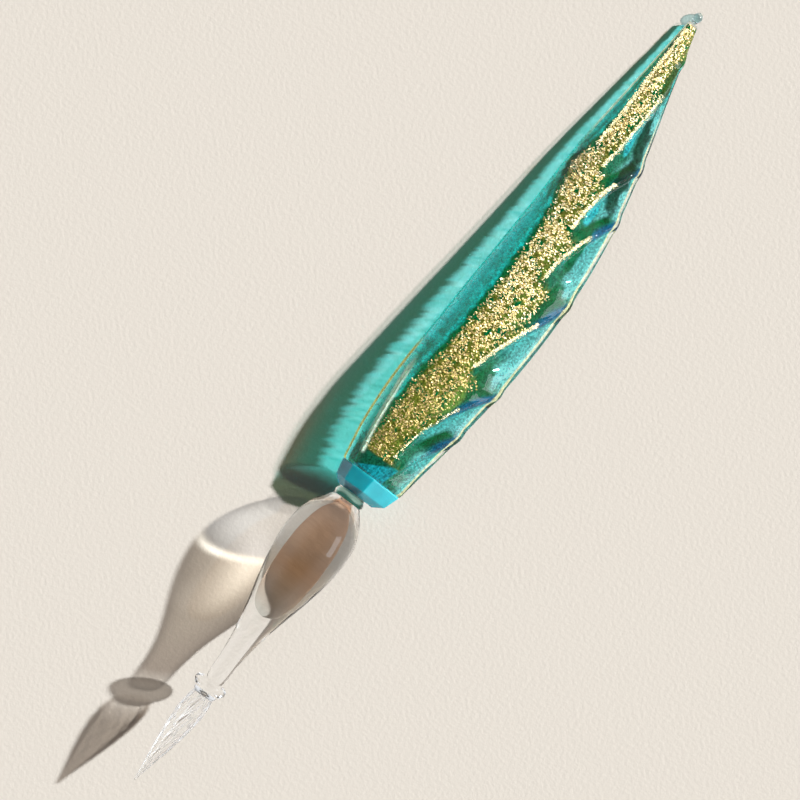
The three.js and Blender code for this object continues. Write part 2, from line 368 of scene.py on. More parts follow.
# What they keep: painted light and shade of the bulb's shadow, more than falls in where it works as a lens.
COLLAR_LIGHT = (0.9, 0.89, 0.87)
STEM_LIGHT = (0.41, 0.36, 0.32)
BULB_LIGHT = (0.5, 0.45, 0.39)
NECK_LIGHT = (0.92, 0.94, 0.96)
# painted light: ARC_LIGHT, above 1, is the bright arc that ARC places in the bulb's shadow
ARC_LIGHT = (1.7, 1.7, 1.62)
ARC = (0.785, 0.8, 0.815, 0.83)  # where it begins, is full and ends, as shares of the grip's length

GLASS_GRAIN = (0.3, 0.5, 1.4)  # the size of its grains, and how bright the darkest and brightest are
LEAF_GRAIN = (0.12, 0.85, 1.1)
LIT_THROUGH = 2.2  # how far dense glass is lit from above, wherever it faces


class Tree:
    """A short way to build the nodes of a material or a world."""

    def __init__(self, owner):
        owner.use_nodes = True
        self.owner = owner
        self.nodes = owner.node_tree.nodes
        self.links = owner.node_tree.links

    def add(self, kind, **settings):
        """Adds a node. settings name its attributes, or its inputs with spaces as underscores."""
        node = self.nodes.new("ShaderNode" + kind)
        for key, value in settings.items():
            if hasattr(node, key):
                setattr(node, key, value)
            else:
                self.feed(node.inputs[key.replace("_", " ")], value)
        return node

    def feed(self, socket, value):
        if isinstance(value, bpy.types.NodeSocket):
            self.links.new(value, socket)
        else:
            socket.default_value = value

    def math(self, operation, first, second):
        node = self.add("Math", operation=operation)
        self.feed(node.inputs[0], first)
        self.feed(node.inputs[1], second)
        return node.outputs["Value"]

    def vector(self, operation, first, second=None):
        node = self.add("VectorMath", operation=operation)
        self.feed(node.inputs[0], first)
        if second is not None:
            self.feed(node.inputs[1], second)
        return node.outputs["Vector"]

    def mix(self, share, first, second):
        """A colour that is share of the way from the first to the second."""
        return self.add("MixRGB", Fac=share, Color1=first, Color2=second).outputs["Color"]

    def between(self, value, low, high, start=0.0, end=1.0):
        """start to end as a value goes from low to high."""
        ends = {"From_Min": low, "From_Max": high, "To_Min": start, "To_Max": end}
        return self.add("MapRange", Value=value, **ends).outputs["Result"]


class Material(Tree):
    """A material's nodes, with its shader."""

    def __init__(self, name):
        super().__init__(bpy.data.materials.new(name))
        self.shader = self.nodes["Principled BSDF"]

    def set(self, **values):
        """Sets or links inputs of the shader, with spaces as underscores."""
        for key, value in values.items():
            self.feed(self.shader.inputs[key.replace("_", " ")], value)

    def join(self, kind, first, second, **settings):
        """Mixes or adds two shaders."""
        node = self.add(kind, **settings)
        sockets = [socket for socket in node.inputs if socket.type == "SHADER"]
        self.links.new(first.outputs[0], sockets[0])
        self.links.new(second.outputs[0], sockets[1])
        return node

    def ramp(self, value, stops):
        """Colours that follow a value from 0 to 1, as (place, colour) stops."""
        node = self.add("ValToRGB", Fac=value)
        elements = node.color_ramp.elements
        for _ in stops[2:]:
            elements.new(0.5)
        for element, (place, colour) in zip(elements, stops):
            element.position = place
            element.color = (*colour, 1)
        return node.outputs["Color"]

    def place(self):
        """The place on the piece, in metres."""
        return self.add("TexCoord").outputs["Object"]

    def ripple(self, strength):
        """The gentle unevenness of glass that was melted and never ground."""
        scale = 1 / (RIPPLE_SIZE * MM)
        waves = self.add("TexNoise", Vector=self.place(), Scale=scale, Detail=2.0, Roughness=0.5)
        bump = self.add("Bump", Height=waves.outputs["Fac"], Strength=strength, Distance=RIPPLE_DEPTH * MM)
        self.set(Normal=bump.outputs["Normal"])

    def passes_lamps(self, tint, seen=None):
        """Rays from lamps pass the surface, taking its tint, and light what is inside and beneath."""
        is_lamp_ray = self.add("LightPath").outputs["Is Shadow Ray"]
        passing = self.add("BsdfTransparent", Color=tint)
        mix = self.join("MixShader", seen or self.shader, passing, Fac=is_lamp_ray)
        self.links.new(mix.outputs["Shader"], self.nodes["Material Output"].inputs["Surface"])
        return self.owner


def rim_tint(tree, middle, rim):
    """What rays from lamps keep in clear glass: most through its middle, least along its rims."""
    facing = tree.add("LayerWeight", Blend=0.5).outputs["Facing"]
    return tree.ramp(facing, [(RIM_START, middle), (1, rim)])


def share_along(tree, start, end):
    """How far along the pen a point is, from start to end in millimetres on the pen's line."""
    along = tree.add("SeparateXYZ", Vector=tree.place()).outputs["X"]
    low, high = (LINE @ Vector((x, 0, 0)) for x in (start, end))
    return tree.between(along, low.x, high.x)


def gathered_light(tree, share):
    """The tint that the lamp's rays take as they enter the grip from above, share of the way along it.
    Those through the bulb's top land in the outer part of its shadow, those through its side by the pen.
    It paints the light and shade there: a bright arc, and a pale patch by the pen."""
    outer = tree.ramp(share, [
        (0, COLLAR_LIGHT), (0.12, STEM_LIGHT), (0.55, (0.43, 0.38, 0.33)), (0.79, BULB_LIGHT),
        (0.84, (0.46, 0.46, 0.46)), (1, NECK_LIGHT),
    ])
    inner = tree.ramp(share, [
        (0, COLLAR_LIGHT), (0.12, STEM_LIGHT), (0.45, BULB_LIGHT), (0.79, (1.4, 1.36, 1.26)),
        (0.84, (1.0, 1.04, 1.1)), (1, NECK_LIGHT),
    ])
    arc = tree.ramp(share, list(zip(ARC, (BLACK, WHITE, WHITE, BLACK))))
    height = tree.add("SeparateXYZ", Vector=tree.place()).outputs["Z"]
    beside, above = (tree.between(height, low * MM, high * MM) for low, high in (BULB_SIDE, BULB_TOP))
    shade = tree.mix(tree.math("SUBTRACT", beside, above), outer, inner)
    return tree.mix(tree.math("MULTIPLY", arc, beside), shade, (*ARC_LIGHT, 1))


def grip_glass():
    """Clear glass, darkened from the bulb on as painted shade of the shadowed paper seen through it.
    Its shadow holds the light that the bulb gathers.
    """
    tree = Material("grip glass")
    share = share_along(tree, GRIP_START, GRIP_END)
    # painted shade: from the bulb on, the glass is darkened for the paper in shadow that is seen through it
    colour = tree.ramp(share, [(0.35, WHITE), (0.6, (0.84, 0.82, 0.78))])
    tree.set(Base_Color=colour, Roughness=0.0, IOR=GLASS_IOR, Transmission_Weight=1.0)
    tree.ripple(0.15)
    entering = tree.add("NewGeometry").outputs["Backfacing"]
    gathered = tree.mix(entering, (*WHITE, 1), gathered_light(tree, share))
    darker = tree.add("MixRGB", blend_type="MULTIPLY", Fac=0.8, Color1=gathered)
    tree.feed(darker.inputs["Color2"], rim_tint(tree, WHITE, (0.55, 0.54, 0.54)))
    return tree.passes_lamps(darker.outputs["Color"])


def nib_glass():
    """Clear glass, a little matt from drawing. Its shadow pales at the root, where the collar's begins."""
    tree = Material("nib glass")
    tree.set(Base_Color=(*WHITE, 1), Roughness=0.06, IOR=GLASS_IOR, Transmission_Weight=1.0)
    shaded = tree.ramp(share_along(tree, 0, NIB_END), [(0.8, WHITE), (1, BLACK)])
    tint = rim_tint(tree, (0.64, 0.60, 0.56), (0.34, 0.32, 0.31))
    return tree.passes_lamps(tree.mix(shaded, (0.97, 0.96, 0.95, 1), tint))


def clear_glass(name, middle, rim, colour=WHITE, ripple=0.15, ior=GLASS_IOR):
    """Clear glass of a faint colour. middle and rim are what rays from lamps keep there."""
    tree = Material(name)
    tree.set(Base_Color=(*colour, 1), Roughness=0.0, IOR=ior, Transmission_Weight=1.0)
    tree.ripple(ripple)
    return tree.passes_lamps(rim_tint(tree, middle, rim))


def smoke_glass():
    """Brown glass, greyer at its blind end."""
    tree = Material("smoke glass")
    share = share_along(tree, BULB_CORE_START, BULB_CORE_START + BULB_CORE_PROFILE[-1][0])
    colour = tree.ramp(share, [
        (0, (0.76, 0.79, 0.79)), (0.4, (0.79, 0.56, 0.4)), (0.8, (0.82, 0.57, 0.42)),
        (1, (0.9, 0.72, 0.6)),
    ])
    tree.set(Base_Color=colour, Roughness=0.03, IOR=CASED_IOR, Transmission_Weight=1.0)
    return tree.passes_lamps((0.99, 0.97, 0.95, 1))


def speckled(tree, colour, size, low, high):
    """A colour broken up by fine grains, from low to high times as bright."""
    grains = tree.add("TexVoronoi", Vector=tree.place(), Scale=1 / (size * MM))
    value = tree.add("SeparateColor", Color=grains.outputs["Color"]).outputs[0]
    scaled = tree.add("VectorMath", operation="SCALE", Scale=tree.between(value, 0.0, 1.0, low, high))
    tree.feed(scaled.inputs[0], colour)
    return scaled.outputs["Vector"]


def leaving_tint(tree, colour):
    """A tint that rays from lamps take only where they leave a body."""
    return tree.mix(tree.add("NewGeometry").outputs["Backfacing"], colour, (*WHITE, 1))


def skyward_normal(tree):
    """The surface's normal, turned towards the light above, so that dense glass looks lit through."""
    normal = tree.add("NewGeometry").outputs["Normal"]
    height = tree.add("SeparateXYZ", Vector=normal).outputs["Z"]
    up = tree.add("CombineXYZ", Z=tree.between(height, -0.3, 0.1, 0.0, LIT_THROUGH)).outputs["Vector"]
    return tree.vector("NORMALIZE", tree.vector("ADD", normal, up))


def painted_glass():
    """Coloured glass, lit from either side. The mesh's "colour" says how it looks, "clear" how far it is
    seen through (1) or dense (0), and "glow" what it lets through from lamps."""
    tree = Material("aqua glass")
    colour = tree.add("Attribute", attribute_name="colour").outputs["Color"]
    clear = tree.add("Attribute", attribute_name="clear").outputs["Fac"]
    glow = tree.add("Attribute", attribute_name="glow").outputs["Color"]
    grained = speckled(tree, colour, *GLASS_GRAIN)
    tree.set(Base_Color=grained, Roughness=0.3, IOR=CASED_IOR, Normal=skyward_normal(tree))
    dense = tree.join("AddShader", tree.shader, tree.add("BsdfTranslucent", Color=grained))
    seen = tree.join("MixShader", dense, tree.add("BsdfTransparent", Color=colour), Fac=clear)
    return tree.passes_lamps(leaving_tint(tree, glow), seen)


def plug_glass():
    """Turquoise glass, dense enough to look solid."""
    tree = Material("turquoise glass")
    clouds = tree.add("TexNoise", Vector=tree.place(), Scale=250.0, Detail=3.0)
    colour = tree.ramp(clouds.outputs["Fac"], [(0, linear(24, 146, 164)), (1, linear(56, 214, 230))])
    tree.set(Base_Color=colour, Roughness=0.06, Coat_Weight=1.0, Coat_Roughness=0.02)
    tree.set(Subsurface_Weight=1.0, Subsurface_Radius=(0.4, 1.0, 1.0), Subsurface_Scale=2.0 * MM)
    lit_through = tree.add("BsdfTranslucent", Color=(*linear(10, 84, 98), 1))
    seen = tree.join("AddShader", tree.shader, lit_through)
    share = share_along(tree, PLUG_START, HANDLE_START)
    # painted shade: what lamps keep darkens towards the plug's front, for the olive front of its shadow
    tint = tree.ramp(share, [(0.3, (0.08, 0.12, 0.06)), (0.9, (0.4, 0.66, 0.62))])
    return tree.passes_lamps(leaving_tint(tree, tint), seen)


def dark_green_glass():
    tree = Material("dark green glass")
    tree.set(Base_Color=(*linear(24, 84, 66), 1), Roughness=0.2)
    return tree.passes_lamps(leaving_tint(tree, (0.6, 0.9, 0.85, 1)))


def leaf_gold():
    """Metal whose shade differs from flake to flake, as the mesh's "colour" says."""
    tree = Material("gold leaf")
    colour = tree.add("Attribute", attribute_name="colour").outputs["Color"]
    grained = speckled(tree, colour, *LEAF_GRAIN)
    tree.set(Base_Color=grained, Metallic=1.0, Roughness=0.6)
    return tree.passes_lamps((0.9, 0.9, 0.85, 1))


RING_GLASS = clear_glass("ring glass", (0.62, 0.59, 0.56), (0.46, 0.44, 0.42))
BEAD_GLASS = clear_glass("bead glass", (0.92,) * 3, (0.85,) * 3, (1, 0.94, 0.9), ior=BEAD_IOR)
NIB_GLASS = nib_glass()
GRIP_GLASS = grip_glass()
CASING = clear_glass("casing glass", (0.97, 0.99, 0.99), (0.75, 0.8, 0.78), (0.97, 1.0, 1.0), ripple=0.1)
TIP_GLASS = clear_glass("tip glass", (0.7, 0.85, 0.87), (0.4, 0.5, 0.5), (0.8, 0.95, 0.97))
SMOKE = smoke_glass()
BODY_GLASS = painted_glass()
PLUG_GLASS = plug_glass()
DARK_GREEN = dark_green_glass()
GOLD = leaf_gold()

# ---- Nib, collar and grip ----


def nib():
    """The twisted flutes run to the point, which leans a little to the smooth edge's side."""
    count, sides = NIB_MESH
    x = np.linspace(0, NIB_END, count)[:, None]
    turn = full_turn(sides)
    groove = NIB_FLUTE_DEPTH * np.abs(np.sin(NIB_FLUTES * turn / 2)) ** NIB_FLUTE_SHARPNESS
    radius = curve_through(NIB_PROFILE)(x) * (1 - groove)
    angle = turn + NIB_TWIST * x / NIB_END
    rings = np.stack([np.broadcast_to(x, angle.shape), radius * np.cos(angle), radius * np.sin(angle)], -1)
    lean = np.array(Matrix.Rotation(-NIB_LEAN, 3, "Z"))
    root = np.array([NIB_ROOT, 0, 0])
    points, faces = loft((rings - root) @ lean.T + root)
    piece("nib_glass", points, faces, NIB_GLASS, "nib")


def nib_collar():
    ring = turned(COLLAR_PROFILE, COLLAR_MESH, COLLAR_START)
    piece("nib_collar_glass", *ring, RING_GLASS, "nib_collar")


def grip():
    """The clear grip and the brown core inside its bulb."""
    piece("grip_glass", *turned(GRIP_PROFILE, GRIP_MESH), GRIP_GLASS, "grip_body")
    core = turned(BULB_CORE_PROFILE, BULB_CORE_MESH, BULB_CORE_START)
    piece("bulb_core_glass", *core, SMOKE, "bulb_core")


def neck_bead():
    piece("neck_bead_glass", *turned(BEAD_PROFILE, BEAD_MESH), BEAD_GLASS, "neck_bead")


# ---- Handle ----


def crest_line(crest, x):
    """Where a crest runs across the handle at x, and how far along it x is, from 0 to 1."""
    along = (x - crest["root_x"]) / (crest["tip_x"] - crest["root_x"])
    line = crest["across"] + (1 - crest["across"]) * np.clip(along, 0, 1) ** crest["bend"]
    return line, along


def ridge_share(x, across, width):
    """1 on the ridge along the front of the smooth edge."""
    away = (across - ridge_line(x)) * width / RIDGE_WIDTH
    starts = smoothstep(x, RIDGE[0][0] - 0.3, RIDGE[0][0] + 0.8)
    ends = smoothstep(x, RIDGE_FADE, RIDGE[-1][0])
    return np.exp(-away * away) * (starts * (1 - ends))


def relief(x, across, width):
    """The share of the thickness left past the crests, and the height of their lips and of the ridge."""
    left = np.ones(np.broadcast(x, across).shape)
    lip = np.zeros_like(left)
    for crest in CRESTS:
        line, along = crest_line(crest, x)
        grown = smoothstep(x, crest["root_x"], crest["root_x"] + CREST_GROWTH) * (along > 0) * (along < 1)
        past = smoothstep(across, line, line + CREST_STEP_WIDTH)
        left = left * (1 - CREST_STEP * past * grown)
        away = (across - line) * width / CREST_LIP_WIDTH
        lip = lip + CREST_LIP * grown * np.exp(-away * away)
    return left, lip + RIDGE_HEIGHT * ridge_share(x, across, width)


def tip_reach(x):
    """How far the crests' tips stand out from the serrated edge at x."""
    reach = np.zeros_like(x)
    for crest in CRESTS:
        away = np.abs(x - crest["tip_x"]) / TIP_LENGTH
        reach = np.maximum(reach, TIP_REACH * (1 - smoothstep(away, 0, 1)))
    return reach


def handle_surface(x, turn, share=1.0):
    """Points of the handle's section, share of its full size, at x of shape (n, 1) and turn of shape (m,)
    or (n, m). turn is 0 at the smooth edge and goes over the top."""
    low = serrated_edge(x) - tip_reach(x)
    high = smooth_edge(x)
    middle, half_width = (low + high) / 2, (high - low) / 2
    flat = np.where(x > FLAT_START, FLAT_DEPTH, 0)
    belly = np.minimum(half_thickness(x), -ground_z(x) + flat)
    across = (1 - np.cos(turn)) / 2
    left, lip = relief(x, across, 2 * half_width)
    upper = np.sin(turn) >= 0
    reach = np.where(upper, half_thickness(x), belly) * left * (1 + EDGE_LEAN * np.cos(turn))
    z = np.maximum(reach * np.sin(turn) + np.where(upper, lip * np.sin(turn), 0), ground_z(x))
    y = middle + half_width * np.cos(turn)
    x, y, z = np.broadcast_arrays(x, middle + share * (y - middle), share * z)
    return np.stack([x, y, z], -1)


def handle_casing():
    """The clear casing, with its ends rounded over."""
    count, sides = CASING_MESH
    turn = full_turn(sides)
    x = np.linspace(HANDLE_START, HANDLE_END, count)
    rings = [handle_surface(np.array([[HANDLE_START + 0.02]]), turn, share)[0] for share in (0.9, 0.97)]
    rings += list(handle_surface(x[1:-1, None], turn))
    rings += [handle_surface(np.array([[HANDLE_END]]), turn, share)[0] for share in (0.95, 0.8)]
    piece("handle_glass", *loft(rings), CASING, "handle_casing")


# ---- Inside the handle ----

CLEAR_CYAN = linear(96, 240, 250)  # clear glass: what it lets through
TURQUOISE = linear(30, 212, 214)
# painted highlight along the smooth edge: cyan, white towards the tail
RIM_HIGHLIGHT_CYAN = linear(40, 196, 200)
RIM_HIGHLIGHT_WHITE = linear(236, 240, 228)
LEAF_GREEN = linear(8, 98, 56)
DARK_CORE = linear(24, 84, 66)
PLUG_TEAL = linear(30, 140, 158)
OLIVE_GOLD = linear(104, 106, 42)
PALE_GOLD = linear(112, 112, 50)
MOSS = linear(104, 134, 58)
TAIL_OLIVE = linear(62, 86, 34)
FACET_CYAN = linear(66, 160, 162)
FACET_PALE = linear(108, 184, 188)
PATCH_CYAN = linear(60, 184, 200)
DEEP_GREEN = linear(10, 50, 12)
# deep blue by the crests' tips: partly the glass's colour, partly painted shade of the steep step there
TIP_BLUE_AND_SHADE = linear(16, 92, 130)
# painted highlight: the cream line along the serrated edge
EDGE_HIGHLIGHT_CREAM = linear(214, 208, 168)
EDGE_GOLD = linear(186, 170, 96)
# painted highlight: the white line along the ridge
RIDGE_HIGHLIGHT_WHITE = linear(255, 255, 246)

LAST_BLUE_TIP = 160  # nearer the tail, crests have no blue
BLUE_WIDTH = 0.7
CLOUD_SIZE = 1.6  # of the soft unevenness where one colour meets the next

# Patches in the coloured glass: x and across, half length in mm, half width as a share, and colour.
PATCHES = [
    (94.5, 0.70, 4.5, 0.07, MOSS),
    (98.5, 0.77, 4.0, 0.09, LEAF_GREEN),
    (119.0, 0.82, 4.5, 0.07, LEAF_GREEN),
    (129.0, 0.76, 6.0, 0.06, LEAF_GREEN),
    (144.0, 0.84, 6.5, 0.12, DEEP_GREEN),
    (154.0, 0.86, 6.0, 0.12, DEEP_GREEN),
    (136.8, 0.66, 2.6, 0.06, PATCH_CYAN),
    (142.6, 0.94, 1.5, 0.05, FACET_PALE),
    (152.0, 0.65, 2.6, 0.06, PATCH_CYAN),
    (158.5, 0.93, 2.8, 0.06, FACET_PALE),
    (166.0, 0.85, 5.0, 0.12, TAIL_OLIVE),
]

# What lamps shine through the handle, from its underside up: painted light and shade of its shadow.
# GLOW_BRIGHT, above 1, paints the streaky light that the handle focuses beside its smooth edge.
GLOW_LOW = (0.06, 0.74, 0.77)
GLOW_BRIGHT = (0.34, 1.15, 1.25)
GLOW_MIDDLE = (0.0, 0.15, 0.09)
GLOW_TOP = (0.02, 0.15, 0.11)
GLOW_FRONT = (0.1, 0.11, 0.05)


def crest_reach(along):
    """1 where a crest's coloured facet runs, from just before its root to its tip."""
    return smoothstep(along, -0.16, 0.04) * (1 - smoothstep(along, 0.99, 1.0))


def facet_colour(crest, past, along):
    """The glass past a crest: green by the root, pale aqua in the middle, deep blue along the tip,
    partly the glass's colour and partly painted shade of the steep step there.
    """
    colour = mixed(FACET_CYAN, FACET_PALE, smoothstep(past, 0.8, 3.2))
    near_root = (1 - smoothstep(along, 0.12, 0.42)) * (1 - smoothstep(past, 2.0, 4.0))
    colour = mixed(colour, LEAF_GREEN, 0.85 * near_root)
    near_tip = smoothstep(along, 0.45, 0.75) * (1 - smoothstep(past, 0.5, 1.3))
    return mixed(colour, TIP_BLUE_AND_SHADE, near_tip * (crest["tip_x"] < LAST_BLUE_TIP))


def plug_seen(points):
    """1 where the back of the front plug is seen through the casing: a slanting edge."""
    back = HANDLE_START + 0.1 + PLUG_SLANT * np.clip(PLUG_SLANT_START - points[..., 1], 0, 7)
    return 1 - smoothstep(points[..., 0], back - 0.1, back + 0.1)


def ridge_highlight(x, across):
    """1 where a painted highlight, white glass, runs along the ridge."""
    return np.clip(2.2 * ridge_share(x, across, handle_width(x)), 0, 1)


def rim_highlight_and_gold_edge(x, across):
    """1 on the thin bright line along the smooth edge: a painted highlight, but for the leaf's
    gold edge at the front.
    """
    return 1 - smoothstep(across * handle_width(x), 0.12, 0.28)


def smooth_side(colour, x, across, clouds):
    """The glass along the smooth edge: clear cyan, turning green by the leaf and at the front."""
    colour = mixed(colour, TURQUOISE, smoothstep(across, 0.02, 0.09))
    edge = leaf_edge(x)
    by_leaf = smoothstep(across + 0.03 * clouds, edge - 0.09, edge - 0.03)
    at_front = 0.85 * (1 - smoothstep(x + 2 * clouds, 75, 80)) * smoothstep(across, 0.03, 0.06)
    return mixed(colour, LEAF_GREEN, np.maximum(by_leaf, at_front))


def under_leaf(colour, x, across, clouds):
    """The glass under the leaf takes its colour, except in holes and at the dark front."""
    edge = leaf_edge(x)
    gilded = smoothstep(across + 0.02 * clouds, edge - 0.01, edge + 0.05)
    gilded = gilded * smoothstep(clouds, -0.35, -0.05)
    gold = mixed(OLIVE_GOLD, PALE_GOLD, smoothstep(x, 96, 150))
    colour = mixed(colour, gold, gilded)
    mossy = smoothstep(across, 0.42, 0.6) * smoothstep(clouds, -0.1, 0.4)
    colour = mixed(colour, MOSS, 0.7 * mossy)
    dark_front = (1 - smoothstep(x, LEAF_START - 0.4, LEAF_START + 0.2)) * smoothstep(across, 0.15, 0.18)
    return mixed(colour, DARK_CORE, dark_front)


def crest_side(colour, crest, x, across, clouds):
    """The green before a crest's tip, the deep blue along it, partly painted shade of the steep step,
    and the facet past the crest.
    """
    line, along = crest_line(crest, x)
    away = (across - line) * handle_width(x)
    green = smoothstep(across, line - TIP_GREEN - 0.03, line - TIP_GREEN + 0.03) * (across < line)
    green = green * smoothstep(along, 0.45, 0.7) * (1 - smoothstep(along, 0.96, 1.06))
    colour = mixed(colour, LEAF_GREEN, green)
    # partly painted shade: the steep step by the tip is darkened blue
    blue = smoothstep(along, 0.55, 0.8) * np.exp(-((away / BLUE_WIDTH) ** 2)) * (along < 1.02)
    colour = mixed(colour, TIP_BLUE_AND_SHADE, blue * (crest["tip_x"] < LAST_BLUE_TIP))
    past = smoothstep(across + 0.02 * clouds, line, line + 0.02) * crest_reach(along + 0.1 * clouds)
    return mixed(colour, facet_colour(crest, away, along), past)


def patched(colour, x, across, clouds):
    """The patches laid over the glass, soft at their borders."""
    for middle, side, length, breadth, tint in PATCHES:
        away = ((x - middle) / length) ** 2 + ((across - side) / breadth) ** 2 + 0.5 * clouds
        colour = mixed(colour, tint, 0.9 * (1 - smoothstep(away, 0.5, 1.4)))
    return colour


def edge_lines(colour, x, across):
    """The thin bright lines along the ridge and both edges: painted highlights, but for the leaf's gold
    edge at the front of the smooth edge.
    """
    # painted highlight along the ridge
    colour = mixed(colour, RIDGE_HIGHLIGHT_WHITE, ridge_highlight(x, across))
    # painted highlight along the smooth edge, cyan and white at the tail; at the front the leaf's gold edge
    front, tail = 1 - smoothstep(x, 96, 100), smoothstep(x, 146, 156)
    rim = mixed(mixed(RIM_HIGHLIGHT_CYAN, EDGE_GOLD, front), RIM_HIGHLIGHT_WHITE, tail)
    colour = mixed(colour, rim, rim_highlight_and_gold_edge(x, across))
    # painted highlight along the serrated edge, short of the tail
    return mixed(colour, EDGE_HIGHLIGHT_CREAM, smoothstep(across, 0.98, 0.99) * (1 - smoothstep(x, 150, 165)))


def body_colour(x, across, points):
    """The colour of the handle's glass, from the smooth edge (0) to the serrated one (1)."""
    clouds = noise_at(points * (1, 1.6, 1), CLOUD_SIZE, seed=3.0)
    colour = np.broadcast_to(CLEAR_CYAN, points.shape)
    colour = smooth_side(colour, x, across, clouds)
    colour = under_leaf(colour, x, across, clouds)
    colour = mixed(colour, PLUG_TEAL, plug_seen(points) * (across < PLUG_SEEN))
    for crest in reversed(CRESTS):
        colour = crest_side(colour, crest, x, across, clouds)
    return edge_lines(patched(colour, x, across, clouds), x, across)


def body_clear(x, across):
    """How far the handle's glass is seen through: along the smooth edge, and partly past the crests."""
    clear = SMOOTH_CLEAR * (1 - smoothstep(across, leaf_edge(x) - 0.12, leaf_edge(x) - 0.04))
    clear = clear * (1 - ridge_highlight(x, across))
    clear = clear * (0.3 + 0.7 * smoothstep(x, 88, 100)) * (1 - 0.8 * rim_highlight_and_gold_edge(x, across))
    for crest in CRESTS[:CLEAR_FACETS]:
        line, along = crest_line(crest, x)
        past = (across - line) * handle_width(x)
        past = smoothstep(past, 1.0, 3.0) * smoothstep(along, 0.1, 0.3) * (along < 1)
        clear = np.maximum(clear, FACET_CLEAR * past)
    return clear * (1 - smoothstep(across, 0.97, 0.98))


def body_glow(points):
    """What lamps shine through the glass, painted light and shade of its shadow: aqua, bright and streaky
    beside the smooth edge, then darker.
    """
    x = points[..., 0]
    height = (points[..., 2] - ground_z(x)) / (half_thickness(x) - ground_z(x))
    streaks = noise_at(points * (1, 0.2, 0.2), 0.9, seed=6.0)
    streaks = streaks + 0.7 * noise_at(points * (1, 0.15, 0.15), 0.4, seed=8.0)
    glow = mixed(GLOW_LOW, GLOW_BRIGHT, smoothstep(height, 0.05, 0.2) * (0.6 + 0.6 * streaks))
    glow = mixed(glow, GLOW_MIDDLE, smoothstep(height + 0.06 * streaks, 0.27, 0.42))
    top = mixed(GLOW_FRONT, GLOW_TOP, smoothstep(x, 76, 98))
    return mixed(glow, top, smoothstep(height, 0.45, 0.8))


def colour_points(obj, name, colours):
    """Stores a colour for each of a mesh's points, for its material to read."""
    layer = obj.data.attributes.new(name, "FLOAT_COLOR", "POINT")
    flat = np.asarray(colours, float).reshape(-1, 3)
    layer.data.foreach_set("color", np.concatenate([flat, np.ones((len(flat), 1))], 1).ravel())


def handle_body():
    """The coloured glass, whose front end is drawn in a little where it meets the plug."""
    count, sides = BODY_MESH
    turn = full_turn(sides)
    x = np.linspace(BODY_START, BODY_END, count)[:, None]
    share = BODY_SHARE * (0.8 + 0.2 * smoothstep(x, BODY_START - 0.6, BODY_START + 0.6))
    points = handle_surface(x, turn, share)
    across = np.broadcast_to((1 - np.cos(turn)) / 2, points.shape[:2])
    obj = piece("handle_body_glass", *loft(points), BODY_GLASS, "handle_body")
    colour_points(obj, "colour", body_colour(x, across, points))
    colour_points(obj, "glow", body_glow(points))
    clear = obj.data.attributes.new("clear", "FLOAT", "POINT")
    clear.data.foreach_set("value", body_clear(x, across).ravel())


def core_rod():
    """The dark rod in the middle of the handle, slimmer at its blind end."""
    count, sides = CORE_MESH
    x = np.linspace(BODY_START + 0.1, CORE_END, count)[:, None]
    share = CORE_SHARE * (1 - 0.5 * smoothstep(x, CORE_END - CORE_TAPER, CORE_END))
    piece("core_glass", *loft(handle_surface(x, full_turn(sides), share)), DARK_GREEN, "core_rod")


def leaf_far_edge(x):
    """Where the leaf ends across the handle: at the first crest, or short of the serrated edge."""
    far = np.full_like(x, LEAF_FAR_EDGE)
    for crest in CRESTS:
        line, along = crest_line(crest, x)
        before = smoothstep(x, crest["root_x"] - LEAF_SLANT, crest["root_x"])
        end = line - LEAF_GAP - TIP_GREEN * smoothstep(along, 0.5, 0.9)
        far = np.where(along < 1, np.minimum(far, LEAF_FAR_EDGE + (end - LEAF_FAR_EDGE) * before), far)
    return far


def flake_places(draw, count):
    """Places in x and across, and which of them hold a flake: most in the middle of the leaf, few at its
    edges and in its holes."""
    x = draw.uniform(LEAF_START, LEAF_END, count)
    across = draw.uniform(0.05, 0.95, count)
    near, far = leaf_edge(x), leaf_far_edge(x)
    points = np.stack([x, across * HOLE_SPREAD, np.zeros(count)], -1)
    holes = noise_at(points * (1, 1.5, 1), 1.6, seed=4.0) + 0.5 * noise_at(points, 0.7, seed=5.0)
    thick = smoothstep(across, near - 0.03, near + 0.06) * (1 - smoothstep(across, far - 0.2, far) * 0.75)
    thick = thick * (across < far) * smoothstep(holes, -0.5, -0.15)
    thick = thick * handle_width(x) / FULL_WIDTH
    return x, across, draw.uniform(0, 1, count) < thick


def unit(vectors):
    return vectors / np.linalg.norm(vectors, axis=-1, keepdims=True)


def leaf_at(x, turn):
    """Points of the layer that the leaf lies on, with the ways along the pen and across it."""
    step = 1e-3
    x, turn = x[:, None], turn[:, None]
    middle = handle_surface(x, turn, LEAF_SHARE)[:, 0]
    along = handle_surface(x + step, turn, LEAF_SHARE)[:, 0] - middle
    across = handle_surface(x, turn + step, LEAF_SHARE)[:, 0] - middle
    return middle, along, across


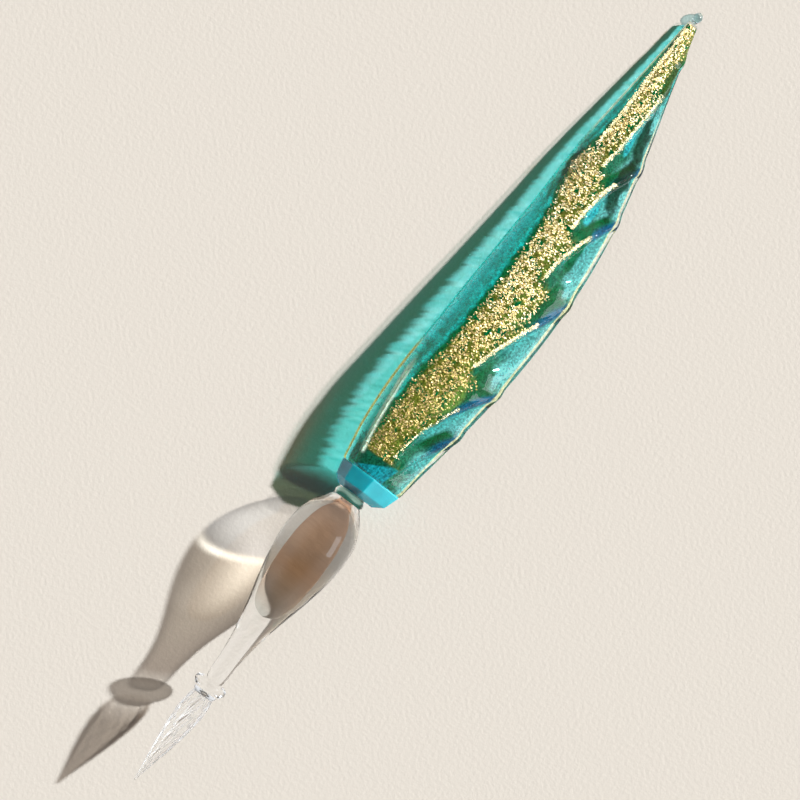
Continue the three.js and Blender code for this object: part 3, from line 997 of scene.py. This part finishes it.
def flakes(draw, x, turn, lean, size, towards=None):
    """The corners of flakes, flake by flake. They lie along the leaf's layer or face one way, towards, and
    each leans a little from that."""
    middle, along, across = leaf_at(x, turn)
    normal = unit(np.cross(along, across)) if towards is None else unit(np.array(towards))
    normal = unit(normal + draw.normal(0, lean, middle.shape))
    side = unit(np.cross(normal, unit(along) + draw.normal(0, FLAKE_TURN, middle.shape)))
    other = np.cross(normal, side)
    each = (len(x), FLAKE_CORNERS)
    corners = np.arange(FLAKE_CORNERS)[None, :] + draw.uniform(-CORNER_SHIFT, CORNER_SHIFT, each)
    angles = 2 * math.pi * corners / FLAKE_CORNERS
    radius = draw.uniform(*size, (len(x), 1)) * draw.uniform(*CORNER_REACH, each)
    long, short = FLAKE_STRETCH * radius * np.cos(angles), radius * np.sin(angles)
    points = middle[:, None] + side[:, None] * long[..., None] + other[:, None] * short[..., None]
    points = points.reshape(-1, 3)
    points[:, 2] = np.maximum(points[:, 2], ground_z(points[:, 0]))
    return points


def flake_colours(draw, shades, low, high):
    """A colour for each flake: low and high are the places in shades, 0 to 1, that it lies between."""
    place = draw.uniform(low, high) * (len(shades) - 1.001)
    first = place.astype(int)
    return mixed(np.array(shades)[first], np.array(shades)[first + 1], place - first)


def gold_tone(x):
    """How far up its shades the leaf starts: darkest at the front."""
    return 0.3 * smoothstep(x, 90, 120)


def folds():
    """The lines that the leaf is folded along: across as a curve, start and end in x, and thickness."""
    for crest in CRESTS:
        end = crest["root_x"] + FOLD_LENGTH * (crest["tip_x"] - crest["root_x"])
        x = np.linspace(crest["root_x"], end, 12)
        yield curve_through(list(zip(x, crest_line(crest, x)[0]))), x[0], x[-1], crest["fold"]
    yield curve_through(TAIL_FOLD), TAIL_FOLD[0][0], TAIL_FOLD[-1][0], TAIL_FOLD_THICKNESS


def face_flakes(draw, face):
    """The flakes of the upper (1) or the lower (-1) face, with a colour for each."""
    x, across, kept = flake_places(draw, FLAKES_PER_FACE)
    turn = face * np.arccos(1 - 2 * across)
    corners = flakes(draw, x[kept], turn[kept], FLAKE_LEAN, FLAKE_SIZE)
    tone = gold_tone(x[kept])
    return corners, flake_colours(draw, GOLD_SHADES, tone, tone + GOLD_SPREAD)


def fold_flakes(draw, line, start, end, thickness):
    """The flakes along a fold, with a colour for each."""
    count = int(FOLD_FLAKES * thickness)
    x = draw.uniform(max(start, LEAF_START), end, count)
    across = np.clip(line(x) + draw.normal(0, FOLD_WIDTH, count) / handle_width(x), 0, 1)
    turn = np.arccos(1 - 2 * across)
    corners = flakes(draw, x, turn, FOLD_FLAKE_LEAN, FOLD_FLAKE_SIZE, CREST_LEAN)
    return corners, flake_colours(draw, CREAM_SHADES, np.zeros(count), np.ones(count))


def gold_leaf():
    """The leaf as flakes: it broke up as the hot glass was drawn out. Along the crests it is folded."""
    draw = np.random.default_rng(7)
    parts = [face_flakes(draw, face) for face in (1, -1)]
    parts += [fold_flakes(draw, *fold) for fold in folds()]
    points = np.concatenate([corners for corners, _ in parts])
    faces = np.arange(len(points)).reshape(-1, FLAKE_CORNERS)
    obj = piece("gold_leaf_flakes", points, faces, GOLD, "gold_leaf", smooth=False)
    colours = np.concatenate([colours for _, colours in parts])
    colour_points(obj, "colour", np.repeat(colours, FLAKE_CORNERS, axis=0))


def plug_ring(x, share, middle_y):
    """A ring of the plug, share of the handle's mouth in size."""
    turn = np.array(PLUG_CORNERS)
    y = middle_y + share * handle_width(HANDLE_START) / 2 * np.cos(turn)
    z = share * half_thickness(HANDLE_START) * np.sin(turn)
    return np.stack([np.full_like(y, x), y, z], -1)


def front_plug():
    mouth_y = handle_middle(HANDLE_START)
    rings = [
        plug_ring(PLUG_START, 0.6, mouth_y * 0.5),
        plug_ring(PLUG_START + 1.3, 0.87, mouth_y * 0.8),
        plug_ring(HANDLE_START - 0.15, 1.0, mouth_y),
        plug_ring(HANDLE_START + 0.05, 0.96, mouth_y),
    ]
    obj = piece("front_plug_glass", *loft(rings), PLUG_GLASS, "front_plug", smooth=False)
    bevel = obj.modifiers.new("polish", "BEVEL")
    bevel.width = PLUG_POLISH * MM
    bevel.segments = 3


def tail_finial():
    drop = turned(FINIAL_PROFILE, FINIAL_MESH, middle_y=handle_middle(HANDLE_END))
    piece("tail_finial_glass", *drop, TIP_GLASS, "tail_finial")


# ---- The surface, lights and camera ----

PAPER = (0.80, 0.765, 0.72, 1)
PAPER_GRAIN = 1300.0  # bumps in a metre
PAPER_GRAIN_HEIGHT = 0.2
PAPER_REACH = 1.5  # in metres, from its middle to its sides
PAPER_GAP = 0.05  # under the pen

VIEW_CENTRE = (87.0, 3.24)  # on the pen's line
VIEW_WIDTH = 150.9
PEN_ANGLE = math.radians(53.5)  # the pen's line above the picture's horizontal
LENS = 200
SENSOR = 36

# Directions are degrees from +X towards +Y, and up from the surface. Distances and sizes are in metres.
SUN_DIRECTION = (-47.5, 31.6)
SUN_POWER = 5.7
SUN_WIDTH = math.radians(2.0)
SUN_COLOUR = (1.0, 0.965, 0.91)
WINDOW_DIRECTION = (-78, 32)
WINDOW_DISTANCE = 0.9
WINDOW_SIZE = (0.42, 0.28)
WINDOW_POWER = 1.2
WINDOW_COLOUR = (0.82, 0.92, 1.0)

# How bright the room is: for what it lights, in what glass shows of it and in what gold shows of it.
ROOM_COLOUR = (0.95, 0.97, 1.0, 1)
FILL = 0.065
WALLS = 0.85
MIRRORED_WALLS = 0.8
CEILING = 0.04
CEILING_HEIGHTS = (0.6, 0.92)  # the heights between which the mirrored walls darken, 1 being straight up

LAYERS = 32  # of glass that light can pass one after another


def surface():
    """A sheet of slightly rough, pale paper."""
    tree = Material("paper")
    grain = tree.add("TexNoise", Vector=tree.place(), Scale=PAPER_GRAIN, Detail=3.0)
    bump = tree.add("Bump", Height=grain.outputs["Fac"], Strength=0.3, Distance=PAPER_GRAIN_HEIGHT * MM)
    tree.set(Base_Color=PAPER, Roughness=0.9, Normal=bump.outputs["Normal"])
    mesh = bpy.data.meshes.new("floor")
    signs = [(-1, -1), (1, -1), (1, 1), (-1, 1)]
    corners = [(x * PAPER_REACH, y * PAPER_REACH, -PAPER_GAP * MM) for x, y in signs]
    mesh.from_pydata(corners, [], [(0, 1, 2, 3)])
    mesh.materials.append(tree.owner)
    placed("floor", mesh)


def lamp(name, light, direction, distance):
    """A lamp that faces the pen, from a direction and a distance."""
    towards, elevation = (math.radians(angle) for angle in direction)
    flat = math.cos(elevation)
    away = Vector((flat * math.cos(towards), flat * math.sin(towards), math.sin(elevation)))
    obj = placed(name, light)
    obj.location = away * distance
    obj.rotation_euler = away.to_track_quat("Z", "Y").to_euler()
    return obj


def lights():
    """A low sun, a window that shows only in glass and metal, and the room."""
    sun = bpy.data.lights.new("key", "SUN")
    sun.energy, sun.angle, sun.color = SUN_POWER, SUN_WIDTH, SUN_COLOUR
    lamp("key", sun, SUN_DIRECTION, 1.0)
    window = bpy.data.lights.new("window", "AREA")
    window.shape = "RECTANGLE"
    window.size, window.size_y = WINDOW_SIZE
    window.energy, window.color = WINDOW_POWER, WINDOW_COLOUR
    lamp("window", window, WINDOW_DIRECTION, WINDOW_DISTANCE).visible_diffuse = False
    bpy.context.scene.world = studio()


def studio():
    """Dim walls for the fill light, but bright where glass or gold shows them, with a dark ceiling."""
    tree = Tree(bpy.data.worlds.new("studio"))
    ray = tree.add("LightPath").outputs
    height = tree.add("SeparateXYZ", Vector=tree.add("TexCoord").outputs["Generated"]).outputs["Z"]
    in_mirrors = tree.between(height, *CEILING_HEIGHTS, MIRRORED_WALLS, CEILING)
    shown = tree.between(ray["Is Glossy Ray"], 0.0, 1.0, FILL, in_mirrors)
    background = tree.nodes["Background"].inputs
    tree.feed(background["Strength"], tree.between(ray["Is Transmission Ray"], 0.0, 1.0, shown, WALLS))
    tree.feed(background["Color"], ROOM_COLOUR)
    return tree.owner


def camera():
    """A camera straight above the pen, far off."""
    data = bpy.data.cameras.new("camera")
    data.lens, data.sensor_width = LENS, SENSOR
    data.clip_start = 0.01
    obj = placed("camera", data)
    target = LINE @ Vector((*VIEW_CENTRE, 0))
    obj.location = target + Vector((0, 0, VIEW_WIDTH * MM * LENS / SENSOR))
    obj.rotation_euler = Euler((0, 0, -PEN_ANGLE))
    bpy.context.scene.camera = obj


def light_paths():
    """Light passes every layer of the glass. The tints, not traced rays, gather it on the paper."""
    scene = bpy.context.scene
    scene.view_settings.view_transform = "Standard"
    scene.cycles.transparent_max_bounces = LAYERS
    scene.cycles.caustics_refractive = False
    scene.cycles.caustics_reflective = False


camera()
lights()
surface()
nib()
nib_collar()
grip()
neck_bead()
core_rod()
handle_body()
gold_leaf()
handle_casing()
front_plug()
tail_finial()
light_paths()
